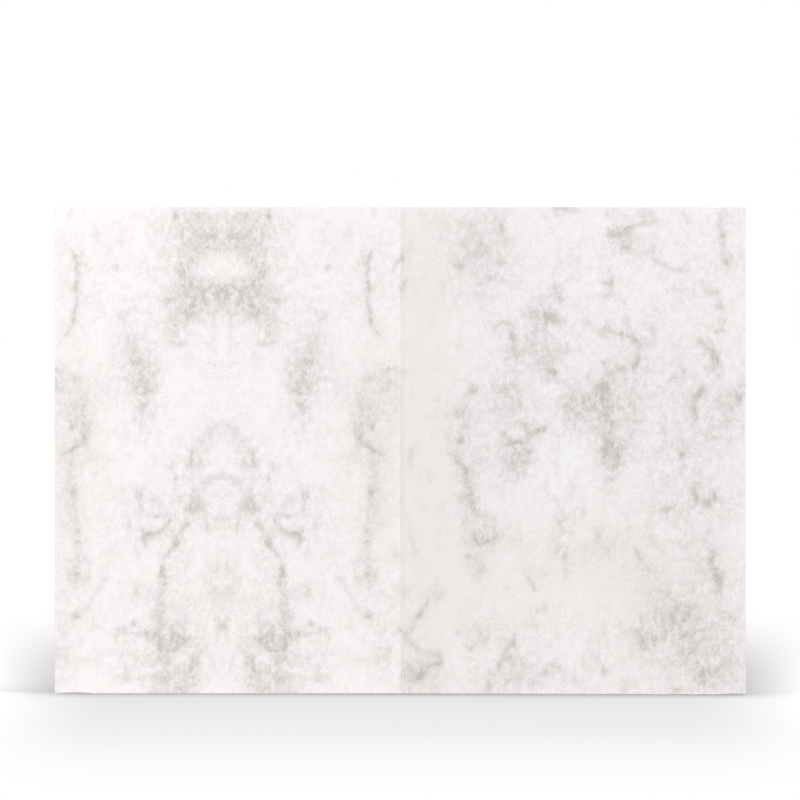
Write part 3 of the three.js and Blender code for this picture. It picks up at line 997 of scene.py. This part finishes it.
@dataclass(frozen=True)
class CardMaterials:
    """The card stock's materials, one for each side of the sheet.

    SIDE_STEP is how far apart in the noise the sides' patterns are read.
    """

    SIDE_STEP: ClassVar[float] = 40.0

    finish: CardFinish = CardFinish()
    recipe: Recipe = Recipe()
    tone: InsideTone = InsideTone()
    grain: PlainGrain = PlainGrain()

    def make(self, side: Side) -> bpy.types.Material:
        """Make one side's material.

        Args:
            side: which side it is for.

        Returns:
            The material.
        """
        material = bpy.data.materials.new(f"card_{side.name.lower()}")
        material.use_nodes = True
        nodes = Nodes(material.node_tree)
        across, up, _ = nodes.split(nodes.attribute(PLACE, "Vector"))
        pattern = nodes.join(abs(across + Marbling.MIRROR), up, self.SIDE_STEP * side.value)
        if side is Side.INSIDE:
            colour = self.inside_colour(nodes, pattern, across)
        elif side is Side.OUTSIDE:
            colour = self.outside_colour(nodes, pattern)
        else:
            colour = nodes.mix(nodes.noise(pattern, self.grain.edge), self.finish.paper, self.finish.edge)
        self.finish_surface(nodes, colour, pattern)
        return material

    def marbled(self, nodes: Nodes, pattern: Socket, ink: Socket, haze: Socket, warmth: Socket) -> Socket:
        """Colour the paper by the grey and the warmth laid on it.

        Args:
            nodes: the material's nodes.
            pattern: the place on the pattern, in millimetres.
            ink: the grey of the marks, from 0 to 1.
            haze: the grey of the clouds, from 0 to 1.
            warmth: the paper's warmth, from -1 to 1.

        Returns:
            The colour.
        """
        recipe = self.recipe
        squeezed = {0: pattern, 1: (1.0, recipe.squeeze, 1.0)}
        tall = nodes.out(nodes.node("ShaderNodeVectorMath", {"operation": "MULTIPLY"}, squeezed))
        drawn = nodes.warp(tall, recipe.warp_cell, recipe.warp_reach)
        mottle = nodes.layer(drawn, recipe.mottle)
        broad = nodes.layer(drawn, recipe.broad)
        fibre = nodes.layer(drawn, recipe.fibre)
        dye = nodes.layer(drawn, recipe.dye)
        off_middle = abs(nodes.noise(drawn, recipe.thread) - recipe.thread_middle)
        thread = nodes.ramp(off_middle, 0.0, recipe.thread_width, 1.0, 0.0)
        plain = nodes.ramp(warmth, *recipe.plain_span)

        grey = ink * (recipe.ink_even + recipe.ink_mottle * mottle)
        grey = grey + haze * (recipe.haze_even + recipe.haze_mottle * mottle + recipe.haze_thread * thread)
        ground = broad * (recipe.broad_mottle * mottle + recipe.broad_thread * thread)
        ground = ground + recipe.ground_mottle * mottle + recipe.ground_thread * thread
        grey = grey + (1.0 - recipe.plain_calm * plain) * ground
        grey = grey + recipe.plain_grey * plain - recipe.lightening
        grey = grey + (recipe.fibre_even + recipe.fibre_haze * haze) * fibre

        tint = warmth + (1.0 - recipe.plain_dye_calm * plain) * dye + recipe.fibre_tint * fibre
        warm = nodes.mix(nodes.ramp(tint, *recipe.cream_span), self.finish.paper, self.finish.cream)
        paper = nodes.mix(nodes.ramp(-1.0 * tint, *recipe.cool_span), warm, self.finish.cool)
        return nodes.mix(nodes.math("MINIMUM", grey, recipe.most_grey), paper, self.finish.ink)

    def inside_colour(self, nodes: Nodes, pattern: Socket, across: Socket) -> Socket:
        """Colour the inside: the listed marks, painted shade at the fold and painted light at its left
        end.
        """
        tone = self.tone
        ink, haze, warmth = (nodes.attribute(name, "Fac") for name in (INK, HAZE, WARMTH))
        marbled = self.marbled(nodes, pattern, ink, haze, warmth)
        # Painted shade: a dark line laid over the marbling along the fold's crease.
        line = nodes.ramp(abs(across - tone.crease_shade_place), *tone.crease_shade_fade, tone.crease_shade_strength, 0.0)
        # Painted shade darkens the inside towards the fold, and painted light makes it a little lighter
        # towards the left end.
        level = nodes.ramp(abs(across), 0.0, tone.full_from, tone.fold_shade_level, 1.0)
        level = level * nodes.ramp(across, *tone.left_light_span, tone.left_light_level, 1.0)
        painted_light_and_shade = nodes.mix(1.0, marbled, nodes.grey(level), "MULTIPLY")
        return nodes.mix(line, painted_light_and_shade, self.finish.fold)

    def outside_colour(self, nodes: Nodes, pattern: Socket) -> Socket:
        """Colour the outside: a marbling of the same kind that follows no layout."""
        layers = (self.grain.ink, self.grain.cloud, self.grain.warmth)
        return self.marbled(nodes, pattern, *(nodes.layer(pattern, layer) for layer in layers))

    def finish_surface(self, nodes: Nodes, colour: Socket, pattern: Socket) -> None:
        """Give the colour the card's dull, faintly toothed surface."""
        finish = self.finish
        bump = nodes.node("ShaderNodeBump", None, {
            "Strength": finish.tooth, "Distance": finish.tooth_depth * MM,
            "Height": nodes.noise(pattern, self.grain.tooth)})
        shader = nodes.node("ShaderNodeBsdfPrincipled", None, {
            "Base Color": colour, "Roughness": finish.roughness, "Specular IOR Level": finish.specular,
            "Normal": nodes.out(bump)})
        nodes.node("ShaderNodeOutputMaterial", None, {"Surface": nodes.out(shader)})


class Card:
    """The folded card as one object."""

    def __init__(self, sizes: SheetSizes, texture: Texture) -> None:
        """Keep the surface to be built."""
        self.surface = SheetSurface(sizes, texture)

    def build(self) -> bpy.types.Object:
        """Build the sheet's mesh, its stored patterns and its materials.

        Returns:
            The object, in the scene.
        """
        points, places = self.surface.points()
        faces, sides = self.surface.faces()
        mesh = bpy.data.meshes.new(NODE)
        mesh.from_pydata((points * MM).tolist(), [], faces)
        materials = CardMaterials()
        for side in Side:
            mesh.materials.append(materials.make(side))
        mesh.polygons.foreach_set("material_index", sides)
        mesh.polygons.foreach_set("use_smooth", [True] * len(faces))
        self.store(mesh, PLACE, "FLOAT_VECTOR", "vector", places)
        marbling = Marbling(places[:, 0], places[:, 1])
        self.store(mesh, INK, "FLOAT", "value", marbling.ink())
        self.store(mesh, HAZE, "FLOAT", "value", marbling.haze())
        self.store(mesh, WARMTH, "FLOAT", "value", marbling.warmth())
        mesh.update()
        mesh.set_sharp_from_angle(angle=math.radians(SHARP_ANGLE))
        LOG.info("the sheet has %d points and %d faces", len(points), len(faces))
        card = bpy.data.objects.new("folded_card", mesh)
        bpy.context.scene.collection.objects.link(card)
        return card

    @staticmethod
    def store(mesh: bpy.types.Mesh, name: str, kind: str, key: str, values: Grid) -> None:
        """Store one value for every point of the mesh."""
        attribute = mesh.attributes.new(name, kind, "POINT")
        attribute.data.foreach_set(key, np.ascontiguousarray(values, dtype=np.float32).ravel())


def direction(azimuth: float, elevation: float) -> Vector:
    """The direction at two angles in degrees, as seen from the card; nought and nought is -Y."""
    turn, rise = math.radians(azimuth), math.radians(elevation)
    return Vector((math.sin(turn) * math.cos(rise), -math.cos(turn) * math.cos(rise), math.sin(rise)))


@dataclass(frozen=True)
class View:
    """Where the camera stands: its angles in degrees, and lengths in metres."""

    azimuth: float
    elevation: float
    lens: float
    distance: float
    aim: tuple[float, float, float]
    sensor: float = 36.0

    def position(self) -> Vector:
        """The camera's place."""
        return Vector(self.aim) + direction(self.azimuth, self.elevation) * self.distance

    def place_camera(self) -> None:
        """Put the camera into the scene."""
        data = bpy.data.cameras.new("camera")
        data.lens, data.sensor_width = self.lens, self.sensor
        data.clip_start, data.clip_end = 0.1, 100.0
        camera = bpy.data.objects.new("camera", data)
        camera.location = self.position()
        camera.rotation_euler = (Vector(self.aim) - camera.location).to_track_quat("-Z", "Y").to_euler()
        bpy.context.scene.collection.objects.link(camera)
        bpy.context.scene.camera = camera


@dataclass(frozen=True)
class Lamp:
    """A lamp: where it stands seen from the card, in degrees and metres, and its light.

    A lamp without a distance is a broad sky of its own, as wide as spread degrees; power is then
    its strength, and it stands SKY_DISTANCE away. Any other is a square as wide as size metres.
    """

    SKY_DISTANCE: ClassVar[float] = 2.0

    name: str
    azimuth: float
    elevation: float
    power: float
    distance: float = 0.0
    size: float = 0.3
    spread: float = 40.0

    def place(self, target: Vector) -> None:
        """Hang the lamp up, turned towards the target."""
        away = direction(self.azimuth, self.elevation)
        if self.distance:
            data = bpy.data.lights.new(self.name, "AREA")
            data.shape, data.size = "SQUARE", self.size
        else:
            data = bpy.data.lights.new(self.name, "SUN")
            data.angle = math.radians(self.spread)
        data.energy = self.power
        lamp = bpy.data.objects.new(self.name, data)
        lamp.location = target + away * (self.distance or self.SKY_DISTANCE)
        lamp.rotation_euler = (target - lamp.location).to_track_quat("-Z", "Y").to_euler()
        bpy.context.scene.collection.objects.link(lamp)


@dataclass(frozen=True)
class Shade:
    """A soft shade painted on the floor, in metres on the card's plane.

    It is strongest at the card and fades between the first and second side distance and between
    the first and second height; heights below nought lie in front of the card. Its left strength
    becomes the right one within blend to either side of the middle.
    """

    left: float
    right: float
    sides: tuple[float, float]
    heights: tuple[float, float]
    far_side: float = 0.0
    blend: float = 0.05


@dataclass(frozen=True)
class FloorTone:
    """The floor's painted shades and the share of its tone that the lamps give it.

    Between the heights of horizon the shades in front of the card give way to the one behind, and
    between those of contact_top the contact shade ends. bounce is the grey that lights the card.
    """

    behind: Shade = Shade(0.46, 0.49, (0.116, 0.157), (0.0, 0.033))
    front: Shade = Shade(0.205, 0.205, (0.105, 0.172), (0.012, -0.043), 0.1)
    near: Shade = Shade(0.10, 0.10, (0.105, 0.165), (0.0, -0.026))
    contact: Shade = Shade(0.16, 0.16, (0.1250, 0.1270), (0.0003, -0.0012))
    horizon: tuple[float, float] = (-0.0022, 0.0002)
    contact_top: tuple[float, float] = (0.0006, 0.0014)
    bounce: float = 0.68
    lit_share: float = 0.3
    lit_level: float = 0.87
    full_tone: float = 1.028
    half_size: float = 15.0


class Studio:
    """The floor, the white surroundings and the lamps."""

    def __init__(self, view: View, tone: FloorTone, lamps: Sequence[Lamp], ambient: float) -> None:
        """Keep what the stage is made of."""
        self.view = view
        self.tone = tone
        self.lamps = lamps
        self.ambient = ambient

    def build(self, target: Vector) -> None:
        """Put up the floor, the surroundings and the lamps."""
        self.floor()
        self.world()
        for lamp in self.lamps:
            lamp.place(target)

    def floor(self) -> None:
        """Lay the floor, with its painted shade."""
        half = self.tone.half_size
        corners = [(-half, -half, 0), (half, -half, 0), (half, half, 0), (-half, half, 0)]
        mesh = bpy.data.meshes.new("floor")
        mesh.from_pydata(corners, [], [tuple(range(len(corners)))])
        material = bpy.data.materials.new("floor")
        material.use_nodes = True
        self.floor_nodes(Nodes(material.node_tree))
        mesh.materials.append(material)
        floor = bpy.data.objects.new("floor", mesh)
        bpy.context.scene.collection.objects.link(floor)

    def floor_nodes(self, nodes: Nodes) -> None:
        """Paint the shade that lies round the card, as seen past it from the camera.

        Each floor place is given the height and the side distance at which the line of sight to it
        crosses the card's plane, so a soft shade can be laid beside and below the card.
        """
        paint = self.tone
        x, y, _ = nodes.split(nodes.out(nodes.node("ShaderNodeTexCoord"), "Object"))
        eye = self.view.position()
        share = eye.length / (eye.length + y)
        height = eye.z * (1.0 - share)
        side = eye.x + (x - eye.x) * share
        front, near, behind, contact = (
            self.shade(nodes, shade, side, height)
            for shade in (paint.front, paint.near, paint.behind, paint.contact))
        beyond = nodes.ramp(height, *paint.horizon)
        contact = contact * nodes.ramp(height, *paint.contact_top, 1.0, 0.0)
        tone = 1.0 - (front + near) * (1.0 - beyond) - behind * beyond - contact
        glow = paint.full_tone - paint.lit_share * paint.lit_level
        seen = nodes.node("ShaderNodeBsdfPrincipled", None, {
            "Base Color": nodes.grey(tone * paint.lit_share), "Roughness": 1.0, "Specular IOR Level": 0.0,
            "Emission Color": nodes.grey(tone * glow), "Emission Strength": 1.0})
        bounce = nodes.node("ShaderNodeBsdfDiffuse", None, {"Color": (*(paint.bounce,) * 3, 1.0)})
        nodes.node("ShaderNodeOutputMaterial", None, {"Surface": nodes.for_camera(seen, bounce)})

    @staticmethod
    def shade(nodes: Nodes, shade: Shade, side: Socket, height: Socket) -> Socket:
        """How dark one painted shade is.

        Args:
            nodes: the floor's nodes.
            shade: the shade.
            side: the distance to the side, on the card's plane.
            height: the height on the card's plane, below nought in front of the card.

        Returns:
            The share of light taken away.
        """
        strength = nodes.ramp(side, -shade.blend, shade.blend, shade.left, shade.right)
        fade = nodes.ramp(abs(side), *shade.sides, 1.0, shade.far_side)
        low, high = sorted(shade.heights)
        at_low, at_high = (1.0, 0.0) if shade.heights[0] == low else (0.0, 1.0)
        return strength * fade * nodes.ramp(height, low, high, at_low, at_high)

    def world(self) -> None:
        """Surround the scene with an even light that the camera sees as white."""
        world = bpy.data.worlds.new("surroundings")
        world.use_nodes = True
        bpy.context.scene.world = world
        nodes = Nodes(world.node_tree)
        dim = nodes.node("ShaderNodeBackground", None, {"Color": (1, 1, 1, 1), "Strength": self.ambient})
        white = nodes.node("ShaderNodeBackground", None, {"Color": (1, 1, 1, 1), "Strength": 1.0})
        nodes.node("ShaderNodeOutputWorld", None, {"Surface": nodes.for_camera(white, dim)})


def main() -> None:
    """Build the card, the stage, the lamps and the camera."""
    logging.basicConfig(level=logging.INFO)
    bpy.context.scene.view_settings.view_transform = "Standard"
    sizes = SheetSizes.from_box()
    card = Card(sizes, Texture()).build()
    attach(card, "root")
    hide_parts(NODE)
    view = View(azimuth=4.7, elevation=0.6, lens=1400, distance=11.37, aim=(-0.0004, 0.0, 0.1073))
    view.place_camera()
    lamps = (
        Lamp("key", azimuth=50, elevation=33, power=0.59 * math.pi),
        Lamp("top", azimuth=0, elevation=66, power=0.18 * math.pi),
        Lamp("back", azimuth=165, elevation=38, power=0.22 * math.pi),
        Lamp("left", azimuth=-60, elevation=40, power=0.84, distance=0.54),
        Lamp("right", azimuth=60, elevation=40, power=0.70, distance=0.54),
    )
    card_middle = Vector((0.0, 0.0, 0.09))
    Studio(view, FloorTone(), lamps, ambient=0.18).build(card_middle)


if __name__ == "__main__":
    main()
